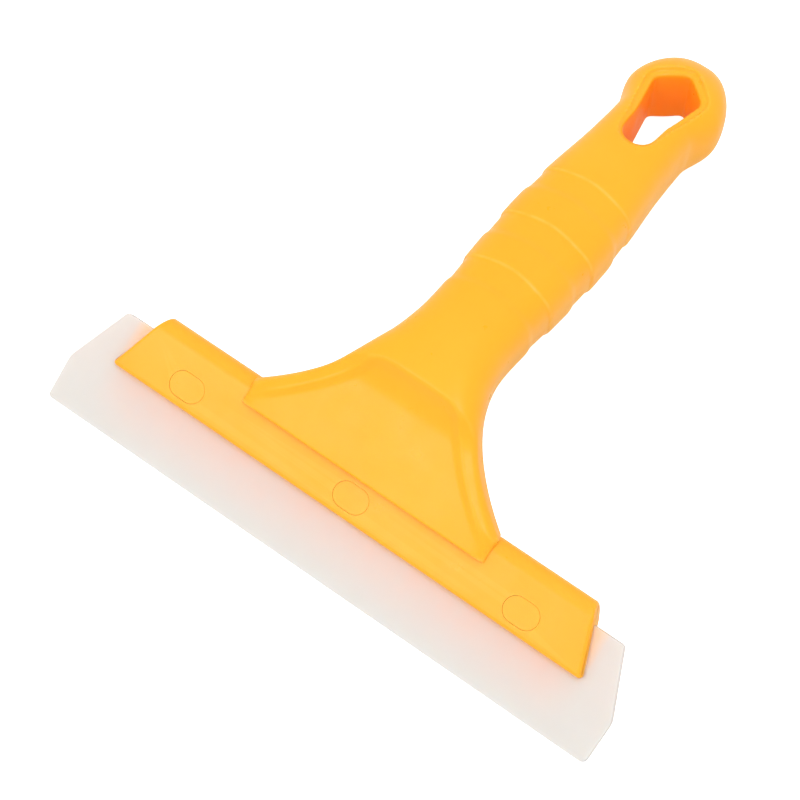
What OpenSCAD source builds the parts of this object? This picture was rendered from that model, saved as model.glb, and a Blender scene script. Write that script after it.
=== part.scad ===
// Hand squeegee: a moulded handle whose foot laps over a two-piece rail that clamps a soft blade.
// The tool lies on its back: it rests on the blade's edge and on the underside of the handle's end.
// X runs along the blade, Y from the blade to the hang hole, Z up out of the front face.
// The origin is at the middle of the length and the width, on the plane that the tool rests on.
// "Head" coordinates are X, l and n: l runs up the blade from its edge, n points out of its front.

/* [Blade] */
// Length of the blade at its widest
blade_length = 160; // [120:1:200]
// Thickness of the blade
blade_thickness = 2.6; // [2:0.1:3.4]
// Height of the blade from its working edge to its clamped edge
blade_height = 28; // [26:0.5:30]
// Height of the blade's widest point above its working edge
blade_shoulder = 11.4; // [8:0.2:12]
// How far each upper corner of the blade stands in from its widest point
blade_taper = 7.1; // [0:0.1:10]
// How far each working corner of the blade stands in from its widest point
edge_taper = 0.4; // [0:0.1:4]
// Angle between the blade and the plane that the tool rests on
head_angle = 29.6; // [28.6:0.1:30.6]

/* [Rail] */
// Length of the rail along its lower edge
rail_length = 137.4; // [116:0.2:142]
// Height of the rail's lower edge above the blade's working edge
rail_start = 16; // [15.4:0.1:16.6]
// Width of the rail from its lower edge to its top edge
rail_width = 17; // [15:0.5:20]
// Thickness of the rail, both jaws and the blade together
rail_thickness = 7.6; // [6.4:0.1:9]
// How far each end of the rail slants inwards from its lower to its top edge
rail_slant = 6; // [0:0.5:10]
// Width of the flat part of each jaw's face
rail_flat = 12.1; // [10:0.1:13]
// Size of the bevel along the lower edge of each jaw
rail_bevel = 0.9; // [0.3:0.1:1.4]

/* [Studs] */
// Length of a stud's oval, along the rail
stud_length = 9.5; // [8:0.1:12]
// Width of a stud's oval, across the rail
stud_width = 6.6; // [5:0.1:7]
// Distance between neighbouring studs
stud_pitch = 49; // [40:1:52]
// Height of the studs' centres above the blade's working edge
stud_height = 21.3; // [20.6:0.1:21.8]

/* [Handle] */
// Width of the foot that laps over the rail
foot_width = 71; // [60:1:80]
// How far the foot stands out of the rail's front face
foot_step = 2; // [1.5:0.1:3]
// Width of the grip at its fullest
grip_width = 27.8; // [25:0.2:32]
// Width of the neck below the hang hole's bulb
neck_width = 22.5; // [21.5:0.1:26]
// Width of the bulb around the hang hole
bulb_width = 27.9; // [27.5:0.1:32]
// Thickness of the grip
grip_thickness = 23.5; // [18:0.1:24]
// Downward slope of the grip where it is steepest
grip_slope = 8; // [6:0.1:8.2]

/* [Hang hole] */
// Length of the hang hole, from its round end to its peak
hole_length = 28; // [26:0.2:30]
// Width of the hang hole at its round end
hole_width = 8.8; // [8:0.2:10]
// Width of the hang hole between its two corners
hole_flare = 14.2; // [12:0.1:15]

/* [Display] */
// Smoothness of the round surfaces
facets = 48; // [32:8:64]

/* [Hidden] */
fit_gap = 0.05;      // between pieces of the clamped stack
stud_gap = 0.12;     // the fine line that shows round each stud
flex_gap = 0.3;      // between the lip's round root and the heel's groove
corner_radius = 1.2; // at the blade's corners

half_blade = blade_thickness / 2;
half_rail = rail_thickness / 2;
rail_end = rail_start + rail_width;
flex_height = rail_start - 1.5; // height of the line about which the lip bends
edge_lift = half_blade * cos(head_angle);

// Stations along the handle, measured up the blade and on along the handle's own curve
foot_start = 26;
foot_top = 30;
foot_end = 32.6;
web_round = 58.5;
web_end = 70.6;
grip_full = 107;
neck_at = 151;
bulb_at = 161;
handle_end = 177;
bend_start = 43.5;
bend_end = 57;
slope_full = 65;
back_full = 92;
slope_back = 158;
end_slope = 6;
bulb_plan = 1.5; // how late the bulb narrows towards its end in plan, where 2 is an ellipse
station_step = 0.5;

web_back = 2.7;   // depth of the web's back under the blade's plane, at the foot
web_curve = 2.3;  // how quickly the web narrows above the foot
waist_inset = 1.6; // how much narrower than the grip's fullest each side is where the web ends
thumb_flat = 45;  // where the web's flat face starts to sweep up into the grip
thumb_radius = 12;
end_wall = 10.5;  // from the hang hole's peak to the end of the handle, along the front
side_fall = 0.9;  // fall of the web's side bands, per mm beyond the edge of its flat face
face_inset = 1.2; // from each end of the foot to the edge of the web's flat face
face_narrowing = 1.335; // how fast that edge runs inwards at the foot, per mm of height
face_bend = 0.0181;     // how fast that narrowing eases off
hole_corner = 1;        // radius of the hang hole's corners
hole_draft = 0.2;       // how much wider the hang hole is where its flare starts

// Midpoint of the length in Y, so that the origin is at the middle
length_mid = 84.55;

plastic_colour = [1.0, 0.72, 0.2];
jaw_colour = [1.0, 0.7, 0.22];
stud_colour = [1.0, 0.74, 0.3];
blade_colour = [0.93, 0.88, 0.84];

// 0 up to 1 between a and b, level at both ends
function ease(a, b, s) =
    let (t = min(1, max(0, (s - a) / (b - a))))
    t * t * (3 - 2 * t);

// The handle's slope at station s: the head's angle, then level, then down, then nearly level
function slope_at(s) =
    head_angle * (1 - ease(bend_start, bend_end, s))
    - grip_slope * (ease(bend_end, slope_full, s) - ease(slope_back, handle_end, s))
    + end_slope * ease(slope_back, handle_end, s);

// The handle's centre line as [y, z] at every station_step, summed up from the foot
start_point = foot_start * [cos(head_angle), sin(head_angle)];
station_count = (handle_end - foot_start) / station_step;
line_slopes = [for (i = [0 : station_count - 1]) slope_at(foot_start + (i + 0.5) * station_step)];
centre_line = [
    for (i = 0, p = start_point;
         i <= station_count;
         p = p + station_step * (i < station_count ? [cos(line_slopes[i]), sin(line_slopes[i])] : [0, 0]),
         i = i + 1) p
];
function centre_at(s) =
    let (k = (s - foot_start) / station_step, i = min(floor(k), station_count - 1))
    centre_line[i] + (k - i) * (centre_line[i + 1] - centre_line[i]);

// Half width of the handle at station s
function half_width(s) =
    s <= foot_end ? foot_width / 2
    : s <= web_end ? grip_width / 2 - waist_inset
        + (foot_width / 2 - grip_width / 2 + waist_inset)
          * pow(1 - (s - foot_end) / (web_end - foot_end), web_curve)
    : s <= neck_at ? grip_width / 2 - waist_inset * (1 - ease(web_end, grip_full, s))
        - (grip_width - neck_width) / 2 * ease(grip_full, neck_at, s)
    : s <= bulb_at ? neck_width / 2 + (bulb_width - neck_width) / 2 * ease(neck_at, bulb_at, s)
    : bulb_width / 2 * sqrt(max(0, 1 - pow((s - bulb_at) / (handle_end - bulb_at), bulb_plan)));

// How the handle's thickness closes in round the end of the bulb
function end_closing(s) = sqrt(max(0, 1 - pow(max(0, (s - bulb_at) / (handle_end - bulb_at)), 2.4)));

// Height of the handle's front over its centre line at station s
function front_depth(s) =
    let (foot_depth = half_rail + foot_step + 0.4)
    end_closing(s) * (foot_depth + (grip_thickness / 2 - foot_depth) * ease(foot_start, bend_end, s));

// Depth of the handle's back under its centre line at station s
function back_depth(s) =
    end_closing(s) * (web_back + (grip_thickness / 2 - web_back) * ease(foot_start, back_full, s));

// Squareness of the section's front half: nearly a rectangle at the foot, an oval along the grip
function front_squareness(s) = 3 + 5 * (1 - ease(foot_start - 4, web_round, s));
back_squareness = 2.2;

// One corner of a rounded section, [across, out]
function rounded(half_w, depth, power, angle) =
    [half_w * sign(cos(angle)) * pow(abs(cos(angle)), 2 / power),
     depth * sign(sin(angle)) * pow(abs(sin(angle)), 2 / power)];

// Distance from the middle to the edge of the web's flat face, at height l
function face_edge(l) =
    let (up = l - foot_top)
    foot_width / 2 - face_inset - face_narrowing * up + face_bend * up * up;

// Height of the web's front over the blade's plane: flat, sweeping up at the thumb, falling at the sides
function face_limit(x, l) =
    let (reach = min(thumb_radius - 0.01, max(0, l - thumb_flat)))
    half_rail + foot_step + thumb_radius - sqrt(thumb_radius * thumb_radius - reach * reach)
    - side_fall * max(0, abs(x) - face_edge(l)) * (1 - ease(50, bend_end, l));

// Moves a point [x, y, z] back onto the web's front face where it stands out of it
function trim_to_face(p) =
    let (l = p.y * cos(head_angle) + p.z * sin(head_angle))
    let (n = -p.y * sin(head_angle) + p.z * cos(head_angle))
    let (kept = n > 0 && l < thumb_flat + thumb_radius ? min(n, face_limit(p.x, l)) : n)
    [p.x, l * cos(head_angle) - kept * sin(head_angle), l * sin(head_angle) + kept * cos(head_angle)];

function handle_ring(s) =
    let (c = centre_at(s), slope = slope_at(s))
    [for (i = [0 : facets - 1])
        let (angle = (i + 0.5) * 360 / facets)
        let (r = angle < 180 ? rounded(half_width(s), front_depth(s), front_squareness(s), angle)
                             : rounded(half_width(s), back_depth(s), back_squareness, angle))
        trim_to_face([r.x, c[0] - r.y * sin(slope), c[1] + r.y * cos(slope)])];

// Stations of the rings: even along the handle, closing up round the end of the bulb
bulb_rings = 9;
ring_stations = concat(
    [foot_start, 28, 30, 32, foot_end, 34.5, 36],
    [for (s = [37 : 2 : 59]) s],
    [for (s = [62.5 : 4 : bulb_at - 2]) s],
    [for (i = [0 : bulb_rings - 1])
        let (s = bulb_at + (handle_end - bulb_at) * sin(i * 86 / (bulb_rings - 1)))
        round(s / station_step * 4) * station_step / 4]);

module from_head() {
    translate([0, -length_mid, edge_lift]) rotate([head_angle, 0, 0]) children();
}

// Extrudes an [l, n] outline along the rail
module along_rail(length) {
    rotate([90, 0, 90]) linear_extrude(length, center = true) children();
}

module oval(length, width) {
    reach = (length - width) / 2;
    translate([-reach, 0]) circle(d = width, $fn = facets);
    translate([reach, 0]) circle(d = width, $fn = facets);
    square([2 * reach, width], center = true);
}

// A bore through the whole rail at each stud
module stud_holes(gap) {
    for (side = [-1 : 1])
        translate([side * stud_pitch, stud_height, -rail_thickness])
            linear_extrude(2 * rail_thickness) oval(stud_length + 2 * gap, stud_width + 2 * gap);
}

// Outline of one jaw: bevelled lower edge, flat face, rounded top edge, seat for the blade's heel
module jaw_outline() {
    seat = half_blade + fit_gap;
    flat_end = rail_start + rail_bevel + rail_flat;
    round_reach = rail_end - flat_end;
    arc_steps = 10;
    polygon(concat(
        [[rail_start, seat],
         [rail_start, half_rail - rail_bevel],
         [rail_start + rail_bevel, half_rail]],
        [for (i = [0 : arc_steps])
            let (turn = i * 90 / arc_steps)
            [flat_end + round_reach * sin(turn), fit_gap + (half_rail - fit_gap) * cos(turn)]],
        [[blade_height + fit_gap, fit_gap],
         [blade_height + fit_gap, seat]]));
}

// The rail's plan: its ends slant inwards
module rail_plan() {
    half = rail_length / 2;
    polygon([
        [-half, rail_start], [half, rail_start],
        [half - rail_slant, rail_end], [rail_slant - half, rail_end]]);
}

module jaw() {
    difference() {
        intersection() {
            along_rail(rail_length) jaw_outline();
            linear_extrude(rail_thickness) rail_plan();
        }
        stud_holes(stud_gap);
    }
}

// Room for the rail under the handle's foot, open at the back
module rail_room() {
    round_start = rail_start + rail_bevel + rail_flat;
    round_reach = rail_end - round_start + fit_gap;
    room = half_rail + fit_gap;
    arc_steps = 10;
    along_rail(rail_length) polygon(concat(
        [[rail_start, -2 * room], [rail_start, room]],
        [for (i = [0 : arc_steps])
            let (turn = i * 90 / arc_steps)
            [round_start + round_reach * sin(turn), room * cos(turn)]],
        [[rail_end + fit_gap, -2 * room]]));
}

// The hang hole is square to the resting plane: round at one end, flaring to two corners and a peak
module hang_hole() {
    round_radius = hole_width / 2;
    straight_at = 0.35 * hole_length;
    corner_at = 0.79 * hole_length;
    linear_extrude(4 * grip_thickness, center = true)
    offset(r = hole_corner) offset(delta = -hole_corner) {
        translate([0, round_radius]) circle(r = round_radius, $fn = facets);
        polygon([
            [-round_radius, round_radius], [round_radius, round_radius],
            [round_radius + hole_draft, straight_at], [hole_flare / 2, corner_at],
            [0, hole_length],
            [-hole_flare / 2, corner_at], [-round_radius - hole_draft, straight_at]]);
    }
}

// Plan of the blade with rounded corners
module blade_plan() {
    half = blade_length / 2 - corner_radius;
    hull()
        for (side = [-1, 1]) {
            translate([side * (half - edge_taper), corner_radius])
                circle(r = corner_radius, $fn = 32);
            translate([side * half, blade_shoulder]) circle(r = corner_radius, $fn = 32);
            translate([side * (half - blade_taper), blade_height - corner_radius])
                circle(r = corner_radius, $fn = 32);
        }
}

module blade_plate() {
    linear_extrude(blade_thickness, center = true) blade_plan();
}

module handle() {
    rings = [for (s = ring_stations) handle_ring(s)];
    ring_total = len(rings);
    points = [for (r = rings, p = r) p];
    sides = [for (j = [0 : ring_total - 2], i = [0 : facets - 1])
        let (k = (i + 1) % facets)
        [j * facets + i, (j + 1) * facets + i, (j + 1) * facets + k, j * facets + k]];
    caps = [[for (i = [0 : facets - 1]) i],
            [for (i = [facets - 1 : -1 : 0]) (ring_total - 1) * facets + i]];
    hole_start = centre_at(handle_end - end_wall - hole_length)[0] + grip_thickness / 2 * sin(grip_slope);
    color(plastic_colour)
    translate([0, -length_mid, edge_lift])
    difference() {
        polyhedron(points, concat(sides, caps), convexity = 6);
        rotate([head_angle, 0, 0]) rail_room();
        translate([0, hole_start, 0]) hang_hole();
    }
}

module front_jaw() {
    color(jaw_colour) from_head() jaw();
}

module rear_jaw() {
    color(jaw_colour) from_head() mirror([0, 0, 1]) jaw();
}

module stud(side) {
    color(stud_colour) from_head()
        translate([side * stud_pitch, stud_height, -half_rail])
            linear_extrude(rail_thickness) oval(stud_length, stud_width);
}

module stud_left() { stud(-1); }
module stud_middle() { stud(0); }
module stud_right() { stud(1); }

module blade_heel() {
    color(blade_colour) from_head()
    difference() {
        blade_plate();
        translate([-blade_length, -1, -blade_thickness])
            cube([2 * blade_length, flex_height + 1, 2 * blade_thickness]);
        translate([-blade_length, flex_height, 0]) rotate([0, 90, 0])
            cylinder(r = half_blade + flex_gap, h = 2 * blade_length, $fn = facets);
        stud_holes(stud_gap);
    }
}

module blade_lip() {
    color(blade_colour) from_head()
    intersection() {
        blade_plate();
        union() {
            translate([-blade_length, -1, -blade_thickness])
                cube([2 * blade_length, flex_height + 1, 2 * blade_thickness]);
            translate([-blade_length, flex_height, 0]) rotate([0, 90, 0])
                cylinder(r = half_blade, h = 2 * blade_length, $fn = facets);
        }
    }
}

handle();
front_jaw();
rear_jaw();
stud_left();
stud_middle();
stud_right();
blade_heel();
blade_lip();
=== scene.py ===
import math

import bmesh
import bpy
import numpy as np
from mathutils import Matrix, Vector
from mathutils.bvhtree import BVHTree


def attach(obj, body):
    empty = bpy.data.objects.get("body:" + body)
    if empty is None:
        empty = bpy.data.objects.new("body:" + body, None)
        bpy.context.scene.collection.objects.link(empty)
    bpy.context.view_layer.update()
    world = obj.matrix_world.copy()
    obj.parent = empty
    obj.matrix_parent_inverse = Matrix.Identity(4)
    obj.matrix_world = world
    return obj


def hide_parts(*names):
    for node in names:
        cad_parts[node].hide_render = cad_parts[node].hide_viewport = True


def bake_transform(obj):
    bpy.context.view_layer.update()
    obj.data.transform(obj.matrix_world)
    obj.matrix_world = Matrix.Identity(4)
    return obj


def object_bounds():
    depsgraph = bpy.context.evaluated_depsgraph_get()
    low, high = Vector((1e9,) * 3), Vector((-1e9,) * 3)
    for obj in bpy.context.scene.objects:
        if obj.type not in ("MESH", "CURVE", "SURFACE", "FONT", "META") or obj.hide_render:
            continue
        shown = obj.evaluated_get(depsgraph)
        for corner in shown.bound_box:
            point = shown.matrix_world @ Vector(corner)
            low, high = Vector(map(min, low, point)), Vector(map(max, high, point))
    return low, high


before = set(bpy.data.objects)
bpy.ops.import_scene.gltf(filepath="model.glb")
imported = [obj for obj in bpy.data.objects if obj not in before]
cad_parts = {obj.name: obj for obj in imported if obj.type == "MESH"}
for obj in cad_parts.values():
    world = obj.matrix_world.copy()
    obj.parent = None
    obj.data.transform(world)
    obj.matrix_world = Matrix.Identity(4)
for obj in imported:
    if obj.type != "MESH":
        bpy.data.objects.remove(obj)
CAD_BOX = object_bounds()

# Hand squeegee: handle, two-jaw rail with three oval studs, and one soft blade.
# Lengths are millimetres until a mesh is made, and metres from then on.
# "Head" coordinates are x, l and n: l runs up the blade from its edge, n points out of its front.
MM = 0.001

# Blade
BLADE_LENGTH = 160.0
BLADE_THICKNESS = 2.6
BLADE_HEIGHT = 28.0
BLADE_SHOULDER = 11.4
BLADE_TAPER = 7.1
EDGE_TAPER = 0.4
CORNER_RADIUS = 1.2
SHOULDER_RADIUS = 5.0
HEAD_ANGLE = math.radians(29.6)

# Rail
RAIL_LENGTH = 137.4
RAIL_START = 16.0
RAIL_WIDTH = 17.0
RAIL_THICKNESS = 7.6
RAIL_SLANT = 6.0
RAIL_FLAT = 12.1
RAIL_BEVEL = 0.9
FIT_GAP = 0.05

# Studs
STUD_LENGTH = 9.5
STUD_WIDTH = 6.6
STUD_PITCH = 49.0
STUD_HEIGHT = 21.3
STUD_GAP = 0.03

# Handle
FOOT_WIDTH = 71.0
FOOT_STEP = 2.0
GRIP_WIDTH = 27.8
NECK_WIDTH = 22.5
BULB_WIDTH = 27.9
GRIP_THICKNESS = 23.5
GRIP_SLOPE = math.radians(8.0)
END_SLOPE = math.radians(6.0)
FOOT_START, FOOT_END = 26.0, 32.6
WEB_SQUARE_FROM, WEB_SQUARE_TO = 22.0, 58.5
WEB_END, GRIP_FULL, NECK_AT, BULB_AT, HANDLE_END = 70.6, 107.0, 151.0, 161.0, 177.5
BEND_START, BEND_END, SLOPE_FULL, BACK_FULL, SLOPE_BACK = 43.5, 57.0, 65.0, 92.0, 158.0
WEB_BACK = 2.7
WEB_CURVE = 2.3
WEB_SQUARENESS = 5.0
WAIST_INSET = 1.25
BULB_PLAN, BULB_PROFILE = 1.6, 2.4
FRONT_OVAL, BACK_OVAL = 3.0, 2.35
FOOT_SPARE = 0.4
THUMB_FLAT, THUMB_RADIUS = 45.0, 12.0

# The neck's back is a little squarer than the grip's, and the bulb's less so
NECK_SQUARENESS, BULB_LOSS = 0.4, 0.6
NECK_SQUARE_FROM, NECK_SQUARE_TO = 128.0, 146.0
BULB_LOSS_FROM, BULB_LOSS_TO = 150.0, 162.0

# Hang hole: its flare starts and is full at these shares of its length from the round end
HOLE_LENGTH = 28.5
HOLE_WIDTH = 8.8
HOLE_FLARE = 14.2
HOLE_DRAFT = 0.2
FLARE_START, FLARE_FULL = 0.35, 0.79
HOLE_POINTS, CORNER_ROUNDS = 260, 28
END_WALL = 11.0

# The ledge round its front, as (distance outwards, depth). It fades towards the round end
RIM_LEDGE = ((2.1, 0.0), (1.8, 0.95), (0.5, 1.45), (0.1, 1.8), (0.0, 2.4))
LEDGE_LEAST, LEDGE_GAIN = 0.55, 0.45
LEDGE_FADE_FROM, LEDGE_FADE_TO = 3.0, 15.0
BACK_RIM = 3.4

# Mesh detail
SKIN_COLUMNS = 240
FINE_FROM, FINE_TO = 62.0, 120.0
WEB_STEP, FINE_STEP, NECK_STEP = 0.5, 0.3, 0.6
HANDLE_VOXEL, HANDLE_RELAX, HANDLE_KEEP = 0.4, 2, 0.48
EDGE_BREAK, EDGE_SEGMENTS = 0.16, 2
BORE_REACH = 9.0

HALF_BLADE = BLADE_THICKNESS / 2
HALF_RAIL = RAIL_THICKNESS / 2
RAIL_END = RAIL_START + RAIL_WIDTH
EDGE_LIFT = HALF_BLADE * math.cos(HEAD_ANGLE)
LENGTH_MID = 84.55  # puts the origin in the middle of the length


def ease(a, b, s):
    """0 up to 1 between a and b, level at both ends."""
    t = np.clip((np.asarray(s, float) - a) / (b - a), 0.0, 1.0)
    return t * t * (3.0 - 2.0 * t)


def from_head(x, l, n):
    """Head coordinates in mm to the row frame in metres."""
    c, s = math.cos(HEAD_ANGLE), math.sin(HEAD_ANGLE)
    y = l * c - n * s - LENGTH_MID
    z = l * s + n * c + EDGE_LIFT
    return Vector((x * MM, y * MM, z * MM))


def new_mesh_object(name, points, faces):
    mesh = bpy.data.meshes.new(name)
    mesh.from_pydata([tuple(p) for p in points], [], faces)
    mesh.validate()
    obj = bpy.data.objects.new(name, mesh)
    bpy.context.collection.objects.link(obj)
    fix_normals(obj)
    return obj


def fix_normals(obj):
    bm = bmesh.new()
    bm.from_mesh(obj.data)
    bmesh.ops.recalc_face_normals(bm, faces=bm.faces)
    bm.to_mesh(obj.data)
    bm.free()


def loft_faces(rings, count):
    """Quads between successive closed rings, and a face over each end."""
    faces = []
    for j in range(rings - 1):
        for i in range(count):
            k = (i + 1) % count
            faces.append((j * count + i, j * count + k, (j + 1) * count + k, (j + 1) * count + i))
    faces.append(tuple(range(count - 1, -1, -1)))
    faces.append(tuple((rings - 1) * count + i for i in range(count)))
    return faces


def settle(obj):
    """Applies every modifier."""
    bpy.context.view_layer.update()
    graph = bpy.context.evaluated_depsgraph_get()
    mesh = bpy.data.meshes.new_from_object(obj.evaluated_get(graph))
    old = obj.data
    obj.modifiers.clear()
    obj.data = mesh
    bpy.data.meshes.remove(old)


def cut(obj, *cutters):
    for cutter in cutters:
        tool = obj.modifiers.new("cut", "BOOLEAN")
        tool.operation = "DIFFERENCE"
        tool.solver = "EXACT"
        tool.object = cutter
        settle(obj)
        bpy.data.objects.remove(cutter)


def soften(obj, voxel, rounds, keep):
    """Rebuilds the skin as an even mesh, relaxes it into moulded radii, then thins its flat parts."""
    tool = obj.modifiers.new("skin", "REMESH")
    tool.mode = "VOXEL"
    tool.voxel_size = voxel * MM
    relax = obj.modifiers.new("relax", "SMOOTH")
    relax.factor = 0.5
    relax.iterations = rounds
    thin = obj.modifiers.new("thin", "DECIMATE")
    thin.ratio = keep
    settle(obj)


def shade(obj, angle=None):
    """Smooth shading, with creases over the angle given and flat faces kept flat."""
    for face in obj.data.polygons:
        face.use_smooth = True
    if angle is not None:
        obj.data.set_sharp_from_angle(angle=math.radians(angle))
        weigh = obj.modifiers.new("flats", "WEIGHTED_NORMAL")
        weigh.keep_sharp = True
        settle(obj)


# ---------------------------------------------------------------- handle

LINE_STEP = 0.25
LINE_S = np.arange(FOOT_START, HANDLE_END + LINE_STEP, LINE_STEP)


def slope_at(s):
    """Slope of the centre line at station s, up being positive."""
    tail = ease(SLOPE_BACK, HANDLE_END, s)
    return (HEAD_ANGLE * (1.0 - ease(BEND_START, BEND_END, s))
            - GRIP_SLOPE * (ease(BEND_END, SLOPE_FULL, s) - tail) + END_SLOPE * tail)


def centre_line():
    """The centre line's y and z at the stations in LINE_S."""
    mid = slope_at(LINE_S[:-1] + LINE_STEP / 2)
    run_y, run_z = (np.concatenate(([0.0], np.cumsum(f(mid)))) for f in (np.cos, np.sin))
    y = FOOT_START * math.cos(HEAD_ANGLE) + run_y * LINE_STEP
    z = FOOT_START * math.sin(HEAD_ANGLE) + run_z * LINE_STEP
    return y, z


LINE_Y, LINE_Z = centre_line()


def centre_at(s):
    return np.interp(s, LINE_S, LINE_Y), np.interp(s, LINE_S, LINE_Z)


def half_width(s):
    """Half the handle's width at station s: foot, web, grip, neck, bulb."""
    foot, grip, neck, bulb = (w / 2 for w in (FOOT_WIDTH, GRIP_WIDTH, NECK_WIDTH, BULB_WIDTH))
    if s <= FOOT_END:
        return foot
    if s <= WEB_END:
        left = 1.0 - (s - FOOT_END) / (WEB_END - FOOT_END)
        return grip - WAIST_INSET + (foot - grip + WAIST_INSET) * left ** WEB_CURVE
    if s <= NECK_AT:
        return float(grip - WAIST_INSET * (1.0 - ease(WEB_END, GRIP_FULL, s))
                     - (grip - neck) * ease(GRIP_FULL, NECK_AT, s))
    if s <= BULB_AT:
        return float(neck + (bulb - neck) * ease(NECK_AT, BULB_AT, s))
    u = (s - BULB_AT) / (HANDLE_END - BULB_AT)
    return bulb * math.sqrt(max(0.0, 1.0 - u ** BULB_PLAN))


def end_closing(s):
    """How the handle's thickness closes in round the end of the bulb."""
    u = max(0.0, (s - BULB_AT) / (HANDLE_END - BULB_AT))
    return math.sqrt(max(0.0, 1.0 - u ** BULB_PROFILE))


def front_depth(s):
    foot = HALF_RAIL + FOOT_STEP + FOOT_SPARE
    return end_closing(s) * (foot + (GRIP_THICKNESS / 2 - foot) * float(ease(FOOT_START, BEND_END, s)))


def back_depth(s):
    full = GRIP_THICKNESS / 2
    return end_closing(s) * (WEB_BACK + (full - WEB_BACK) * float(ease(FOOT_START, BACK_FULL, s)))


def face_limit(l):
    """Height of the web's flat face, sweeping up at the thumb."""
    reach = np.clip(l - THUMB_FLAT, 0.0, THUMB_RADIUS - 0.01)
    return HALF_RAIL + FOOT_STEP + THUMB_RADIUS - np.sqrt(THUMB_RADIUS ** 2 - reach ** 2)


# A low rounded rim runs along each side of the web's face. It falls outwards, gently and then steeply
RIM_HEIGHT = 0.9
RIM_WIDTH = 3.3
SHELF_FALL, SHELF_WIDTH = 0.3, 2.8
SIDE_FALL, SIDE_ROUND = 0.8, 0.6
RIM_FOOT, RIM_FOOT_HEIGHT = 33.7, 30.0
RIM_NARROWING, RIM_BEND = 1.335, 0.0181
RIM_FADE = 50.0
FACE_BLEND = 0.8


def rim_line(l):
    """Distance of the rim's crest from the middle, at height l."""
    u = l - RIM_FOOT_HEIGHT
    return RIM_FOOT - RIM_NARROWING * u + RIM_BEND * u * u


def trim_to_face(x, l, n):
    """The front skin's height n, cut down to the web's face and its rims with a soft crease."""
    crest = rim_line(l)
    rim = RIM_HEIGHT * ease(0.0, 1.0, (np.abs(x) - crest + RIM_WIDTH) / RIM_WIDTH)
    beyond = np.maximum(np.abs(x) - crest, 0.0)
    steep = np.maximum(beyond - SHELF_WIDTH, 0.0)
    fall = SHELF_FALL * beyond + SIDE_FALL * (np.sqrt(steep ** 2 + SIDE_ROUND ** 2) - SIDE_ROUND)
    limit = face_limit(l) + (rim - fall) * (1.0 - ease(RIM_FADE, BEND_END, l))
    overlap = np.maximum(FACE_BLEND - np.abs(n - limit), 0.0) / FACE_BLEND
    kept = np.minimum(n, limit) - overlap * overlap * FACE_BLEND / 4.0
    return np.where(l < THUMB_FLAT + THUMB_RADIUS, np.where(n > 0.0, kept, n), n)


# Shallow finger grooves, as (y of the step, length): each ends in a crisp step that bows
# towards the tail, and fades out over the last part of its length
RINGS = ((115.0, 8.0), (97.6, 8.4), (80.7, 8.6))
RING_BOW, BOW_REACH = 1.2, 11.0
SIDE_DEPTH, FACE_DEPTH = 0.5, 0.42
GROOVE_FADE_FROM, GROOVE_FADE_TO = 0.75, 1.1
STEP_LENGTH = 0.45
LINE_CORE, LINE_WIDTH, LINE_SHIFT = 0.1, 0.5, 0.1

# The grip swells a little between its first groove and its last
LOBE_SWELL = 0.2
SWELL_START, SWELL_FULL = 70.0, 82.0
SWELL_LEAVES, SWELL_END = 118.0, 132.0


def groove_depth(x, y, round_part):
    """How far the skin sinks at x, y. round_part is 0 on the grip's sides and 1 on its front."""
    depth = SIDE_DEPTH + (FACE_DEPTH - SIDE_DEPTH) * round_part
    bowed = y + RING_BOW * ease(0.0, BOW_REACH, np.abs(x))
    swell = ease(SWELL_START, SWELL_FULL, bowed)
    total = -LOBE_SWELL * swell * (1.0 - ease(SWELL_LEAVES, SWELL_END, bowed))
    for step, length in RINGS:
        before = step - bowed
        fade = ease(GROOVE_FADE_FROM * length, GROOVE_FADE_TO * length, before)
        total += depth * ease(0.0, STEP_LENGTH, before) * (1.0 - fade)
    return total


def handle_stations():
    """Stations along the centre line: finest over the grooves, and closing in on the end."""
    stations = list(np.arange(FOOT_START, FINE_FROM, WEB_STEP))
    stations += list(np.arange(FINE_FROM, FINE_TO, FINE_STEP))
    stations += list(np.arange(FINE_TO, BULB_AT, NECK_STEP))
    turns = np.linspace(0.0, math.radians(88.5), 44)
    return stations + [BULB_AT + (HANDLE_END - BULB_AT) * math.sin(a) for a in turns]


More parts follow.
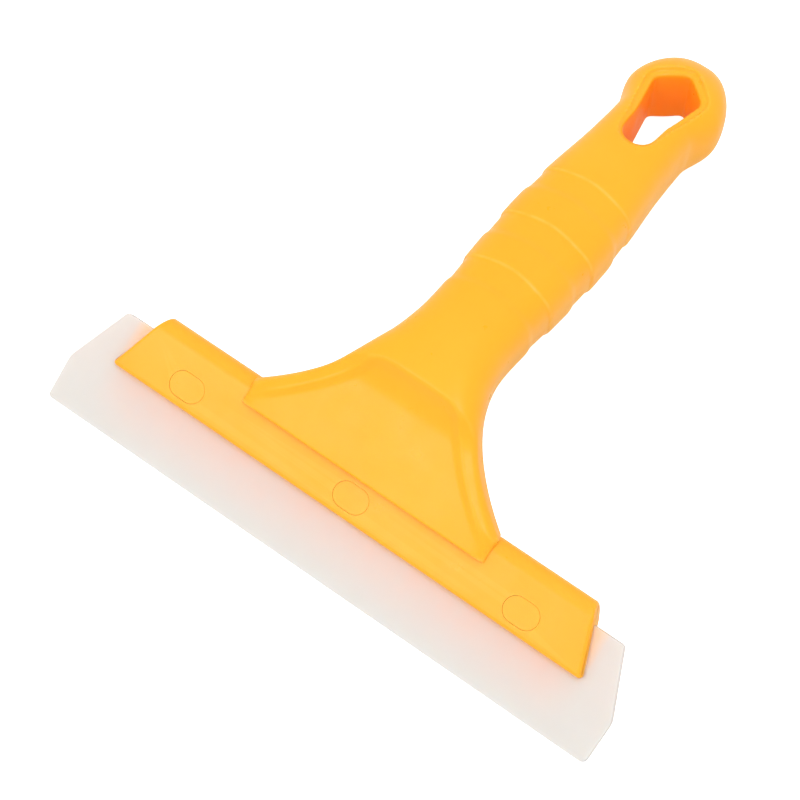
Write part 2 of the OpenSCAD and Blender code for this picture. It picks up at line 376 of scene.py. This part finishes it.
def handle_skin():
    """The handle's outside: oval sections along the centre line, grooved and cut to the web's face."""
    count = SKIN_COLUMNS
    stations = handle_stations()
    angle = (np.arange(count) + 0.5) * 2.0 * math.pi / count
    c, s = np.cos(angle), np.sin(angle)
    front = s > 0
    points = []
    ca, sa = math.cos(HEAD_ANGLE), math.sin(HEAD_ANGLE)
    for station in stations:
        rounding = float(ease(WEB_SQUARE_FROM, WEB_SQUARE_TO, station))
        square = FRONT_OVAL + WEB_SQUARENESS * (1.0 - rounding)
        full = (NECK_SQUARENESS * ease(NECK_SQUARE_FROM, NECK_SQUARE_TO, station)
                * (1.0 - BULB_LOSS * ease(BULB_LOSS_FROM, BULB_LOSS_TO, station)))
        power = np.where(front, square, BACK_OVAL + float(full))
        depth = np.where(front, front_depth(station), back_depth(station))
        across = half_width(station) * np.sign(c) * np.abs(c) ** (2.0 / power)
        out = depth * np.sign(s) * np.abs(s) ** (2.0 / power)
        slope = float(slope_at(station))
        cy, cz = centre_at(station)
        sunk = groove_depth(across, cy - out * math.sin(slope), np.abs(s))
        scale = 1.0 - sunk / np.maximum(np.hypot(across, out), 1.0)
        across, out = across * scale, out * scale
        y = cy - out * math.sin(slope)
        z = cz + out * math.cos(slope)
        l, n = y * ca + z * sa, -y * sa + z * ca
        n = trim_to_face(across, l, n)
        y, z = l * ca - n * sa, l * sa + n * ca
        for i in range(count):
            points.append((across[i] * MM, (y[i] - LENGTH_MID) * MM, (z[i] + EDGE_LIFT) * MM))
    return new_mesh_object("handle_skin", points, loft_faces(len(stations), count))


def rail_room():
    """Space for the rail under the foot, open at the back."""
    round_start = RAIL_START + RAIL_BEVEL + RAIL_FLAT
    reach = RAIL_END - round_start + FIT_GAP
    room = HALF_RAIL + FIT_GAP
    outline = [(RAIL_START, -2.0 * room), (RAIL_START, room)]
    for turn in np.linspace(0.0, math.pi / 2, 13):
        outline.append((round_start + reach * math.sin(turn), room * math.cos(turn)))
    outline.append((RAIL_END + FIT_GAP, -2.0 * room))
    half = RAIL_LENGTH / 2
    points = [from_head(side * half, l, n) for side in (-1, 1) for l, n in outline]
    return new_mesh_object("rail_room", points, loft_faces(2, len(outline)))


def hole_front_start():
    """Y of the hang hole's round end, where it meets the handle's front."""
    return centre_at(HANDLE_END - END_WALL - HOLE_LENGTH)[0] + GRIP_THICKNESS / 2 * math.sin(GRIP_SLOPE)


def hole_outline():
    """The hang hole's outline as evenly spaced points with rounded corners, and its normals."""
    r = HOLE_WIDTH / 2
    right = [(r * math.sin(a), r - r * math.cos(a)) for a in np.linspace(0.0, math.pi / 2, 16)]
    right += [(r + HOLE_DRAFT, FLARE_START * HOLE_LENGTH), (HOLE_FLARE / 2, FLARE_FULL * HOLE_LENGTH),
              (0.0, HOLE_LENGTH)]
    loop = np.array(right + [(-x, y) for x, y in reversed(right[1:-1])])
    closed = np.vstack((loop, loop[:1]))
    run = np.concatenate(([0.0], np.cumsum(np.hypot(*np.diff(closed, axis=0).T))))
    at = np.linspace(0.0, run[-1], HOLE_POINTS, endpoint=False)
    p = np.column_stack((np.interp(at, run, closed[:, 0]), np.interp(at, run, closed[:, 1])))
    for _ in range(CORNER_ROUNDS):
        p = p + 0.5 * ((np.roll(p, 1, 0) + np.roll(p, -1, 0)) / 2 - p)
    tangent = np.roll(p, -1, 0) - np.roll(p, 1, 0)
    normal = np.column_stack((tangent[:, 1], -tangent[:, 0]))
    normal /= np.linalg.norm(normal, axis=1)[:, None]
    return p, normal


def hole_cutter(skin):
    """Cutter for the hang hole: its ends flare, following the skin, into a ledge and a round rim."""
    start = hole_front_start()
    up = Vector((0, 0, 1))
    well_outside = 0.1
    bm = bmesh.new()
    bm.from_mesh(skin.data)
    tree = BVHTree.FromBMesh(bm)
    bm.free()
    outline, normal = hole_outline()

    def ring(offset, depth, side):
        """The outline moved outwards, then dropped onto the skin and sunk, at the front (1) or back."""
        made = []
        for p, m in zip(outline, normal):
            full = LEDGE_LEAST + LEDGE_GAIN * float(ease(LEDGE_FADE_FROM, LEDGE_FADE_TO, p[1]))
            wide = full if side > 0 else 1.0
            x, y = p + offset * wide * m
            far = Vector((x * MM, (start + y - LENGTH_MID) * MM, side * well_outside))
            hit = tree.ray_cast(far, -side * up)[0]
            made.append(hit - side * depth * wide * MM * up)
        return made

    turns = np.linspace(math.radians(14.0), math.pi / 2, 10)
    back_round = [(BACK_RIM * (1 - math.sin(a)), BACK_RIM * (1 - math.cos(a))) for a in turns]
    clear, above = 0.35, -3.0
    rings = []
    for side, profile in ((1, RIM_LEDGE), (-1, back_round)):
        flare = [ring(profile[0][0] + clear, above, side)] + [ring(o, d, side) for o, d in profile]
        rings += flare[::side]
    points = [p for r in rings for p in r]
    return new_mesh_object("hole_cutter", points, loft_faces(len(rings), len(outline)))


# Points this near to the hole's outline are on its walls, and points this far from it aren't
WALL_NEAR, WALL_FAR = 0.3, 1.0


def mark_hole_wall(obj):
    """Stores 1 on the walls of the hang hole, 0 elsewhere, for the painted shade and glow in the
    material.
    """
    start = hole_front_start()
    outline = hole_outline()[0]
    co = np.zeros(len(obj.data.vertices) * 3)
    obj.data.vertices.foreach_get("co", co)
    co = co.reshape(-1, 3) / MM
    x, y = co[:, 0], co[:, 1] + LENGTH_MID - start
    wall = np.zeros(len(co))
    around = (np.abs(x) < HOLE_FLARE) & (y > -HOLE_WIDTH) & (y < HOLE_LENGTH + HOLE_WIDTH)
    close = np.nonzero(around)[0]
    off_x, off_y = (v[close, None] - outline[None, :, k] for k, v in enumerate((x, y)))
    gap = np.hypot(off_x, off_y).min(axis=1)
    wall[close] = 1.0 - ease(WALL_NEAR, WALL_FAR, gap)
    layer = obj.data.attributes.new("hole_wall", "FLOAT", "POINT")
    layer.data.foreach_set("value", wall.astype(np.float32))


def mark_edges(obj):
    """Stores how sharply the skin turns outwards at each point, per mm, for the painted highlight on
    its edges.
    """
    mesh = obj.data
    co, normal = np.zeros(len(mesh.vertices) * 3), np.zeros(len(mesh.vertices) * 3)
    mesh.vertices.foreach_get("co", co)
    mesh.vertices.foreach_get("normal", normal)
    co, normal = co.reshape(-1, 3) / MM, normal.reshape(-1, 3)
    ends = np.zeros(len(mesh.edges) * 2, dtype=int)
    mesh.edges.foreach_get("vertices", ends)
    a, b = ends.reshape(-1, 2).T
    links = np.bincount(np.concatenate((a, b)), minlength=len(co))

    def around(values):
        total = np.bincount(a, values[b], len(co)) + np.bincount(b, values[a], len(co))
        return total / links

    centre = np.column_stack([around(co[:, k]) for k in range(3)])
    length = ((co[a] - co[b]) ** 2).sum(axis=1)
    square = (np.bincount(a, length, len(co)) + np.bincount(b, length, len(co))) / links
    turn = 2.0 * ((co - centre) * normal).sum(axis=1) / square
    for _ in range(6):
        turn = 0.4 * turn + 0.6 * around(turn)  # evened out over the neighbours
    layer = mesh.attributes.new("edge_turn", "FLOAT", "POINT")
    layer.data.foreach_set("value", turn.astype(np.float32))


handle = handle_skin()
hole_tool = hole_cutter(handle)
cut(handle, rail_room(), hole_tool)
soften(handle, HANDLE_VOXEL, HANDLE_RELAX, HANDLE_KEEP)
mark_hole_wall(handle)
mark_edges(handle)
handle.name = "handle_moulding"
shade(handle)

# ---------------------------------------------------------------- rail

EDGE_FILLET, END_FILLET = 1.1, 0.95


def jaw_outline():
    """Outline of a jaw as l, n and the outward direction at each point (none where it's inside)."""
    seat = HALF_BLADE + FIT_GAP
    flat_end = RAIL_START + RAIL_BEVEL + RAIL_FLAT
    reach = RAIL_END - flat_end
    outline = [(RAIL_START, seat, -1.0, 0.0)]
    for turn in np.linspace(0.0, math.pi / 2, 8):
        c, s = math.cos(turn), math.sin(turn)
        outline.append((RAIL_START + EDGE_FILLET * (1 - c), HALF_RAIL - EDGE_FILLET * (1 - s), -c, s))
    for turn in np.linspace(0.0, math.pi / 2, 15):
        c, s = math.cos(turn), math.sin(turn)
        outline.append((flat_end + reach * s, FIT_GAP + (HALF_RAIL - FIT_GAP) * c, s, c))
    outline += [(BLADE_HEIGHT + FIT_GAP, FIT_GAP, 0.0, 0.0), (BLADE_HEIGHT + FIT_GAP, seat, 0.0, 0.0)]
    return outline


def oval(length, width, count=20):
    """Outline of an oval with straight sides."""
    reach, r = (length - width) / 2, width / 2
    points = []
    for side in (1, -1):
        for a in np.linspace(-math.pi / 2, math.pi / 2, count):
            points.append((side * (reach + r * math.cos(a)), side * r * math.sin(a)))
    return points


def stud_prism(side, gap, reach, name):
    outline = oval(STUD_LENGTH + 2 * gap, STUD_WIDTH + 2 * gap)
    points = [from_head(side * STUD_PITCH + x, STUD_HEIGHT + y, n)
              for n in (-reach, reach) for x, y in outline]
    return new_mesh_object(name, points, loft_faces(2, len(outline)))


def stud_bores():
    return [stud_prism(i, STUD_GAP, BORE_REACH, "bore") for i in (-1, 0, 1)]


def round_edges(obj, angle):
    """Breaks every edge sharper than the angle given."""
    tool = obj.modifiers.new("round", "BEVEL")
    tool.width = EDGE_BREAK * MM
    tool.segments = EDGE_SEGMENTS
    tool.limit_method = "ANGLE"
    tool.angle_limit = math.radians(angle)
    settle(obj)


def make_jaw(front, name):
    """One jaw, lofted along the rail between its filleted, slanted ends."""
    outline = jaw_outline()
    turns = np.linspace(0.0, math.pi / 2, 7)
    stations = [(-1, t) for t in turns] + [(1, t) for t in turns[::-1]]
    points = []
    for side, turn in stations:
        inset, back = END_FILLET * (1 - math.sin(turn)), END_FILLET * (1 - math.cos(turn))
        for l, n, out_l, out_n in outline:
            slant = RAIL_SLANT * (l - RAIL_START) / RAIL_WIDTH
            l, n = l - inset * out_l, n - inset * out_n
            points.append(from_head(side * (RAIL_LENGTH / 2 - slant - back), l, n if front else -n))
    jaw = new_mesh_object(name, points, loft_faces(len(stations), len(outline)))
    cut(jaw, *stud_bores())
    fix_normals(jaw)
    round_edges(jaw, 28.0)
    shade(jaw, 40.0)
    return jaw


front_jaw = make_jaw(True, "rail_front")
rear_jaw = make_jaw(False, "rail_rear")
studs = []
for place, word in ((-1, "left"), (0, "middle"), (1, "right")):
    stud = stud_prism(place, 0.0, HALF_RAIL, "stud_face_" + word)
    round_edges(stud, 60.0)
    shade(stud, 40.0)
    studs.append(stud)

# ---------------------------------------------------------------- blade


def rounded_corner(before, corner, after, radius, count=12):
    """Points of the arc that rounds a corner between two straight sides."""
    before, corner, after = (np.array(p, float) for p in (before, corner, after))
    a, b = before - corner, after - corner
    a, b = a / np.linalg.norm(a), b / np.linalg.norm(b)
    half = math.acos(float(a @ b)) / 2
    middle = corner + (a + b) / np.linalg.norm(a + b) * radius / math.sin(half)
    start = corner + a * radius / math.tan(half) - middle
    end = corner + b * radius / math.tan(half) - middle
    mixed = [start * (1 - t) + end * t for t in np.linspace(0.0, 1.0, count)]
    return [middle + m / np.linalg.norm(m) * radius for m in mixed]


def blade_side():
    """The blade's right-hand end in plan, as x and l, from its edge up."""
    half = BLADE_LENGTH / 2
    corners = [(0.0, 0.0), (half - EDGE_TAPER, 0.0), (half, BLADE_SHOULDER),
               (half - BLADE_TAPER, BLADE_HEIGHT), (0.0, BLADE_HEIGHT)]
    points = []
    for i, radius in ((1, CORNER_RADIUS), (2, SHOULDER_RADIUS), (3, CORNER_RADIUS)):
        points += rounded_corner(corners[i - 1], corners[i], corners[i + 1], radius)
    return np.array(points)


BLADE_SIDE = blade_side()


def blade_half_length(l):
    return float(np.interp(l, BLADE_SIDE[:, 1], BLADE_SIDE[:, 0]))


EDGE_ROUND = 0.28
BLADE_COLUMNS, END_TURNS = 64, 10


def blade_stations():
    """Heights of the blade's rings: close over its rounded edge and corners, and where it bends."""
    quarter = math.pi / 2
    stations = [EDGE_ROUND * (1 - math.cos(a)) for a in np.linspace(0.0, quarter, 5)]
    stations += list(np.linspace(EDGE_ROUND + 0.12, CORNER_RADIUS, 6))
    stations += list(np.arange(1.6, RAIL_START + 1.0, 0.4))
    stations += list(np.arange(RAIL_START + 1.4, BLADE_HEIGHT - CORNER_RADIUS, 1.0))
    turns = np.linspace(0.0, math.radians(86), 6)
    return stations + [BLADE_HEIGHT - CORNER_RADIUS * (1 - math.sin(a)) for a in turns]


def blade_ring(l):
    """The blade's section at height l as x, n: front row, right end, back row, left end."""
    close = max(0.0, EDGE_ROUND - l)
    half_t = HALF_BLADE - EDGE_ROUND + math.sqrt(EDGE_ROUND ** 2 - close ** 2)
    half_x = blade_half_length(max(l, 0.02))
    ring = []
    for side in (1, -1):
        xs = np.linspace(-(half_x - EDGE_ROUND), half_x - EDGE_ROUND, BLADE_COLUMNS) * side
        ring += [(x, side * half_t) for x in xs]
        for a in np.linspace(0.0, math.pi, END_TURNS + 1)[1:-1]:
            bulge = EDGE_ROUND * math.sin(a)
            ring.append((side * (half_x - EDGE_ROUND + bulge), side * half_t * math.cos(a)))
    return ring


def blade_end_faces(base):
    """Closes the ring whose points start at base with quads between its front and back rows."""
    columns, side_points = BLADE_COLUMNS, END_TURNS - 1
    front_row = [base + i for i in range(columns)]
    back_row = [base + columns + side_points + columns - 1 - i for i in range(columns)]
    right = [base + columns + i for i in range(side_points)]
    left = [base + 2 * columns + side_points + i for i in range(side_points)]
    faces = []
    for i in range(columns - 1):
        faces.append((front_row[i], front_row[i + 1], back_row[i + 1], back_row[i]))
    faces.append(tuple([front_row[-1]] + right + [back_row[-1]]))
    faces.append(tuple([back_row[0]] + left + [front_row[0]]))
    return faces


def make_blade():
    stations = blade_stations()
    rings = [blade_ring(l) for l in stations]
    ring_size = len(rings[0])
    points = [from_head(x, l, n) for l, ring in zip(stations, rings) for x, n in ring]
    faces = loft_faces(len(rings), ring_size)[:-2]
    for base in (0, (len(rings) - 1) * ring_size):
        faces += blade_end_faces(base)
    made = new_mesh_object("blade_sheet", points, faces)
    cut(made, *stud_bores())
    fix_normals(made)
    shade(made, 50.0)
    return made


blade = make_blade()


def store_place(obj):
    """Keeps each point's head coordinates at rest, in mm, for the material."""
    c, s = math.cos(HEAD_ANGLE), math.sin(HEAD_ANGLE)
    co = np.zeros(len(obj.data.vertices) * 3)
    obj.data.vertices.foreach_get("co", co)
    co = co.reshape(-1, 3) / MM
    y, z = co[:, 1] + LENGTH_MID, co[:, 2] - EDGE_LIFT
    place = np.column_stack((co[:, 0], y * c + z * s, -y * s + z * c))
    layer = obj.data.attributes.new("rest_place", "FLOAT_VECTOR", "POINT")
    layer.data.foreach_set("vector", place.astype(np.float32).ravel())


store_place(blade)

# ---------------------------------------------------------------- materials


def node(tree, kind, **inputs):
    made = tree.nodes.new(kind)
    for key, value in inputs.items():
        made.inputs[key.replace("_", " ")].default_value = value
    return made


def linear(r, g, b):
    """8-bit display colour to linear."""
    def one(v):
        v /= 255.0
        return v / 12.92 if v <= 0.04045 else ((v + 0.055) / 1.055) ** 2.4
    return (one(r), one(g), one(b), 1.0)


def colour_mix(tree, factor, first, second):
    """From first to second as factor goes from 0 to 1. Each may be a value or a socket."""
    mix = tree.nodes.new("ShaderNodeMix")
    mix.data_type = "RGBA"
    for socket, value in ((0, factor), (6, first), (7, second)):
        if isinstance(value, bpy.types.NodeSocket):
            tree.links.new(value, mix.inputs[socket])
        else:
            mix.inputs[socket].default_value = value
    return mix.outputs[2]


def ranged(tree, value, low, high, to_low, to_high, smooth=False):
    """The value's place between low and high, carried over to between to_low and to_high."""
    tool = node(tree, "ShaderNodeMapRange")
    tool.clamp = True
    tool.interpolation_type = "SMOOTHSTEP" if smooth else "LINEAR"
    for index, number in enumerate((low, high, to_low, to_high)):
        tool.inputs[index + 1].default_value = number
    tree.links.new(value, tool.inputs[0])
    return tool.outputs[0]


def noise(tree, where, scale, detail=3.0, rough=0.5):
    tool = node(tree, "ShaderNodeTexNoise", Scale=scale, Detail=detail, Roughness=rough)
    tree.links.new(where, tool.inputs["Vector"])
    return tool.outputs["Fac"]


def attribute(tree, name):
    """A vertex attribute of the piece. Its outputs are Fac and Vector."""
    tool = node(tree, "ShaderNodeAttribute")
    tool.attribute_name = name
    return tool


def math_node(tree, operation, first, second=None):
    tool = node(tree, "ShaderNodeMath")
    tool.operation = operation
    for index, value in enumerate((first, second)):
        if isinstance(value, bpy.types.NodeSocket):
            tree.links.new(value, tool.inputs[index])
        elif value is not None:
            tool.inputs[index].default_value = value
    return tool.outputs[0]


def ring_lines(tree, where):
    """1 along the crest of each groove's step, where a painted highlight goes, 0 elsewhere; where is in
    metres in the row frame.
    """
    axes = node(tree, "ShaderNodeSeparateXYZ")
    tree.links.new(where, axes.inputs[0])
    sideways = math_node(tree, "ABSOLUTE", axes.outputs[0])
    bow = ranged(tree, sideways, 0.0, BOW_REACH * MM, 0.0, RING_BOW * MM, True)
    bowed = math_node(tree, "ADD", axes.outputs[1], bow)
    total = None
    for step, _ in RINGS:
        crest = (step - LENGTH_MID - LINE_SHIFT) * MM
        off = math_node(tree, "ABSOLUTE", math_node(tree, "SUBTRACT", bowed, crest))
        line = ranged(tree, off, LINE_CORE * MM, LINE_WIDTH * MM, 1.0, 0.0)
        total = line if total is None else math_node(tree, "MAXIMUM", total, line)
    return total


# Painted shade and painted glow on the hang hole's walls: a deeper orange, and a faint emission
# standing in for light carried through the plastic and bounced inside the hole
WALL_PAINTED_SHADE_COLOUR, WALL_PAINTED_GLOW, WALL_PAINTED_GLOW_STRENGTH = (0.98, 0.38, 0.012, 1), (1.0, 0.2, 0.02, 1), 0.1
# Most that the painted edge highlight pales the colour
EDGE_HIGHLIGHT_MOST = 0.35


def plastic(name, base, deep, pale, roughness, grain, ringed=False):
    """Moulded satin plastic: cloudy colour, fine grain, flow marks, and edges made paler by a painted
    highlight.

    A ringed plastic also has a painted highlight along the handle's ring lines, painted shade and glow
    on its hole walls, and takes its painted edge highlight from the handle's edge_turn."""
    material = bpy.data.materials.new(name)
    material.use_nodes = True
    tree = material.node_tree
    shader = tree.nodes["Principled BSDF"]
    where = node(tree, "ShaderNodeTexCoord").outputs["Object"]
    cloud = noise(tree, where, 42.0, 4.0, 0.55)
    colour = colour_mix(tree, ranged(tree, cloud, 0.35, 0.65, 0.0, 1.0), deep, base)
    # Convex edges are turned towards the pale colour: a painted highlight
    if ringed:
        turn = attribute(tree, "edge_turn").outputs["Fac"]
        edge_highlight = ranged(tree, turn, 0.22, 0.7, 0.0, EDGE_HIGHLIGHT_MOST)
    else:
        pointed = node(tree, "ShaderNodeNewGeometry").outputs["Pointiness"]
        edge_highlight = ranged(tree, pointed, 0.515, 0.6, 0.0, EDGE_HIGHLIGHT_MOST)
    colour = colour_mix(tree, edge_highlight, colour, pale)
    if ringed:
        # A painted highlight in patches along the crest of each groove's step
        highlight_patches = ranged(tree, noise(tree, where, 220.0, 3.0, 0.5), 0.3, 0.6, 0.1, 0.45)
        lines = math_node(tree, "MULTIPLY", ring_lines(tree, where), highlight_patches)
        colour = colour_mix(tree, lines, colour, pale)
        # The hole's walls take a painted shade of deeper orange and glow faintly with painted light
        wall = attribute(tree, "hole_wall").outputs["Fac"]
        colour = colour_mix(tree, wall, colour, WALL_PAINTED_SHADE_COLOUR)
        shader.inputs["Emission Color"].default_value = WALL_PAINTED_GLOW
        tree.links.new(ranged(tree, wall, 0.0, 1.0, 0.0, WALL_PAINTED_GLOW_STRENGTH),
                       shader.inputs["Emission Strength"])
    tree.links.new(colour, shader.inputs["Base Color"])
    flow = noise(tree, where, 160.0, 5.0, 0.6)
    tree.links.new(ranged(tree, flow, 0.3, 0.7, roughness - 0.05, roughness + 0.06),
                   shader.inputs["Roughness"])
    swell = node(tree, "ShaderNodeBump", Strength=0.4, Distance=0.0004)
    tree.links.new(noise(tree, where, 90.0, 2.0, 0.4), swell.inputs["Height"])
    bump = node(tree, "ShaderNodeBump", Strength=grain, Distance=0.00006)
    tree.links.new(noise(tree, where, 2600.0, 2.0, 0.6), bump.inputs["Height"])
    tree.links.new(swell.outputs["Normal"], bump.inputs["Normal"])
    tree.links.new(bump.outputs["Normal"], shader.inputs["Normal"])
    shader.inputs["Subsurface Weight"].default_value = 0.25
    shader.inputs["Subsurface Radius"].default_value = (1.0, 0.5, 0.2)
    shader.inputs["Subsurface Scale"].default_value = 0.0015
    shader.inputs["IOR"].default_value = 1.45
    shader.inputs["Specular IOR Level"].default_value = 0.32
    return material


# The blade's colours: its own grey at its edge, a painted bounce of warm light near the rail, a painted
# glow at the jaws' mouth, and its own faint clouds
BLADE_GREY, BLADE_PAINTED_BOUNCE = linear(223, 220, 215), linear(238, 202, 188)
BLADE_PAINTED_GLOW, BLADE_CLOUD = linear(252, 205, 158), linear(221, 214, 207)
PAINTED_GLOW_START, PAINTED_GLOW_END = RAIL_START - 1.6, RAIL_START + 0.2


def elastomer():
    """Frosted translucent blade, greyer at its edge and far ends; the warmth near the rail and the glow
    at the jaws' mouth are painted light from the orange plastic.
    """
    material = bpy.data.materials.new("frosted_elastomer")
    material.use_nodes = True
    tree = material.node_tree
    shader = tree.nodes["Principled BSDF"]
    where = attribute(tree, "rest_place").outputs["Vector"]
    axes = node(tree, "ShaderNodeSeparateXYZ")
    tree.links.new(where, axes.inputs[0])
    side = math_node(tree, "ABSOLUTE", axes.outputs[0])
    height = axes.outputs[1]
    inner = ranged(tree, side, 60.0, 71.0, 1.0, 0.15)
    # Warmer towards the rail and away from the far ends: painted bounce light from the orange jaws
    near = ranged(tree, height, 1.0, RAIL_START + 0.5, 0.0, 1.0)
    colour = colour_mix(tree, math_node(tree, "MULTIPLY", near, inner), BLADE_GREY, BLADE_PAINTED_BOUNCE)
    # Painted glow at the jaws' mouth, stopping short of the rail's ends
    glow = ranged(tree, height, PAINTED_GLOW_START, PAINTED_GLOW_END, 0.0, 0.75, True)
    under_rail = ranged(tree, side, RAIL_LENGTH / 2 - 2.0, RAIL_LENGTH / 2 + 0.5, 1.0, 0.0)
    colour = colour_mix(tree, math_node(tree, "MULTIPLY", glow, under_rail), colour, BLADE_PAINTED_GLOW)
    cloud = noise(tree, where, 0.12, 4.0, 0.6)
    colour = colour_mix(tree, ranged(tree, cloud, 0.35, 0.7, 0.0, 0.35), colour, BLADE_CLOUD)
    tree.links.new(colour, shader.inputs["Base Color"])
    frost = noise(tree, where, 0.5, 4.0, 0.6)
    tree.links.new(ranged(tree, frost, 0.3, 0.7, 0.42, 0.56), shader.inputs["Roughness"])
    bump = node(tree, "ShaderNodeBump", Strength=0.3, Distance=0.00005)
    tree.links.new(noise(tree, where, 2.4, 2.0, 0.6), bump.inputs["Height"])
    tree.links.new(bump.outputs["Normal"], shader.inputs["Normal"])
    shader.inputs["Subsurface Weight"].default_value = 0.6
    shader.inputs["Subsurface Radius"].default_value = (1.0, 0.8, 0.65)
    shader.inputs["Subsurface Scale"].default_value = 0.003
    shader.inputs["Transmission Weight"].default_value = 0.15
    shader.inputs["IOR"].default_value = 1.42
    return material


HANDLE_PLASTIC = plastic("handle_satin_plastic", (0.95, 0.418, 0.016, 1), (0.94, 0.402, 0.012, 1),
                         (0.97, 0.53, 0.1, 1), 0.32, 0.35, ringed=True)
JAW_PLASTIC = plastic("rail_satin_plastic", (0.95, 0.408, 0.018, 1), (0.94, 0.394, 0.014, 1),
                      (0.97, 0.48, 0.05, 1), 0.32, 0.3)
STUD_PLASTIC = plastic("stud_satin_plastic", (0.95, 0.412, 0.02, 1), (0.94, 0.398, 0.016, 1),
                       (0.97, 0.48, 0.05, 1), 0.31, 0.25)
ELASTOMER = elastomer()


def place_piece(obj, material, slot_name, body, *nodes):
    """Gives a finished piece its material and its body (none if it's blended), and hides the nodes it
    replaces. Its slot_name is not used.
    """
    obj.data.materials.clear()
    obj.data.materials.append(material)
    if body:
        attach(obj, body)
    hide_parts(*nodes)


place_piece(handle, HANDLE_PLASTIC, "handle_plastic", "handle_body", "handle")
place_piece(front_jaw, JAW_PLASTIC, "jaw_plastic", "handle_body", "front_jaw")
place_piece(rear_jaw, JAW_PLASTIC, "jaw_plastic", "handle_body", "rear_jaw")
for piece, node_name in zip(studs, ("stud_left", "stud_middle", "stud_right")):
    place_piece(piece, STUD_PLASTIC, "stud_plastic", "handle_body", node_name)
place_piece(blade, ELASTOMER, "blade_elastomer", None, "blade_heel", "blade_lip")
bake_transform(blade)

# ---------------------------------------------------------------- floor, light and camera

FLOOR_HALF, FLOOR_DROP = 3.0, 0.0001
corners = [(-1, -1), (1, -1), (1, 1), (-1, 1)]
floor_points = [(x * FLOOR_HALF, y * FLOOR_HALF, CAD_BOX[0].z - FLOOR_DROP) for x, y in corners]
floor = new_mesh_object("floor", floor_points, [(0, 1, 2, 3)])
paper = bpy.data.materials.new("floor_paper")
paper.use_nodes = True
paper_shader = paper.node_tree.nodes["Principled BSDF"]
paper_shader.inputs["Base Color"].default_value = (0.8, 0.8, 0.8, 1)
paper_shader.inputs["Roughness"].default_value = 0.9
paper_shader.inputs["Emission Color"].default_value = (1, 1, 1, 1)
# The paper is burnt out to white for the eye, but throws back no more light than paper does
seen = node(paper.node_tree, "ShaderNodeLightPath")
paper.node_tree.links.new(ranged(paper.node_tree, seen.outputs["Is Camera Ray"], 0.0, 1.0, 0.0, 0.8),
                          paper_shader.inputs["Emission Strength"])
floor.data.materials.append(paper)

world = bpy.data.worlds.new("studio")
bpy.context.scene.world = world
world.use_nodes = True
sky = world.node_tree.nodes["Background"]
sky.inputs["Color"].default_value = (1, 1, 1, 1)
sky.inputs["Strength"].default_value = 0.95


def aim(azimuth, elevation):
    """Direction of view: azimuth 0 looks along +Y, 90 along -X; elevation is how far it looks down."""
    a, e = math.radians(azimuth), math.radians(elevation)
    return Vector((-math.sin(a) * math.cos(e), math.cos(a) * math.cos(e), -math.sin(e)))


def softbox(name, azimuth, elevation, distance, size, power):
    light = bpy.data.lights.new(name, "AREA")
    light.shape = "RECTANGLE"
    light.size, light.size_y = size
    light.energy = power
    obj = bpy.data.objects.new(name, light)
    direction = aim(azimuth, elevation)
    obj.location = -direction * distance
    obj.rotation_euler = direction.to_track_quat("-Z", "Y").to_euler()
    bpy.context.collection.objects.link(obj)


softbox("key_light", -24.0, 53.0, 1.1, (0.42, 0.42), 2.1)
softbox("side_light", 60.0, 71.0, 1.0, (0.3, 0.3), 1.9)
softbox("top_light", 180.0, 70.0, 1.2, (0.9, 0.9), 1.0)

TARGET = Vector((-0.00606, -0.03999, 0.015))
CAMERA_DISTANCE = 0.64766
CAMERA_ROLL = math.radians(2.944)
view_direction = aim(33.592, 62.519)
camera_data = bpy.data.cameras.new("camera")
camera_data.lens = 121.5
camera_data.sensor_width = 36.0
camera_data.clip_start, camera_data.clip_end = 0.01, 20.0
camera = bpy.data.objects.new("camera", camera_data)
turn = view_direction.to_track_quat("-Z", "Y").to_matrix() @ Matrix.Rotation(CAMERA_ROLL, 3, "Z")
camera.matrix_world = Matrix.Translation(TARGET - view_direction * CAMERA_DISTANCE) @ turn.to_4x4()
bpy.context.collection.objects.link(camera)
bpy.context.scene.camera = camera

settings = bpy.context.scene.view_settings
settings.view_transform = "Standard"
settings.look = "None"
settings.exposure = 0.0
settings.gamma = 1.0
